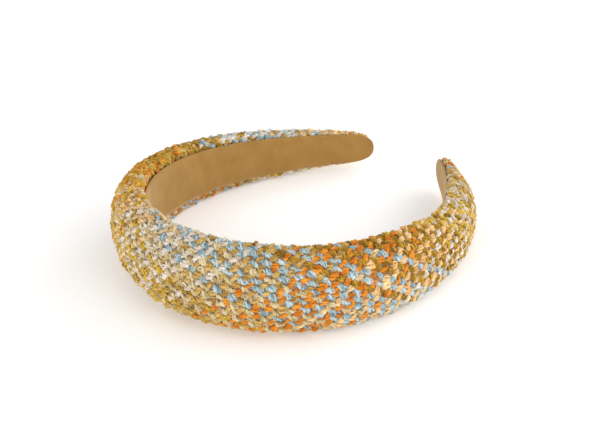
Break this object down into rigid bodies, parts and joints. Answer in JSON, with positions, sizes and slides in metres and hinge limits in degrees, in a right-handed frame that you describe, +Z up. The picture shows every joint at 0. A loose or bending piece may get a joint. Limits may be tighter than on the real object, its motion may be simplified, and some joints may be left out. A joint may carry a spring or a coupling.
{
  "type": "padded headband",
  "caption": "Padded tweed headband with a full rounded crown, tapering to two slim rounded tips, lined inside with tan suede ribbon and lying on its side.",
  "frame": {"origin": "centre of the bounding box's bottom face, on the surface that the headband lies on", "axes": "+Z up, +Y from the crown towards the open side between the tips, +X towards one arm"},
  "size_m": [0.146, 0.162, 0.0373],
  "materials": {
    "tweed": "chunky woven tweed of wool and cotton yarns, matt with a soft fuzz",
    "suede_ribbon": "brushed suede-like ribbon, matt with a short nap"
  },
  "bodies": {
    "root": {"padded_cover": "tweed", "lining": "suede_ribbon"}
  },
  "joints": []
}
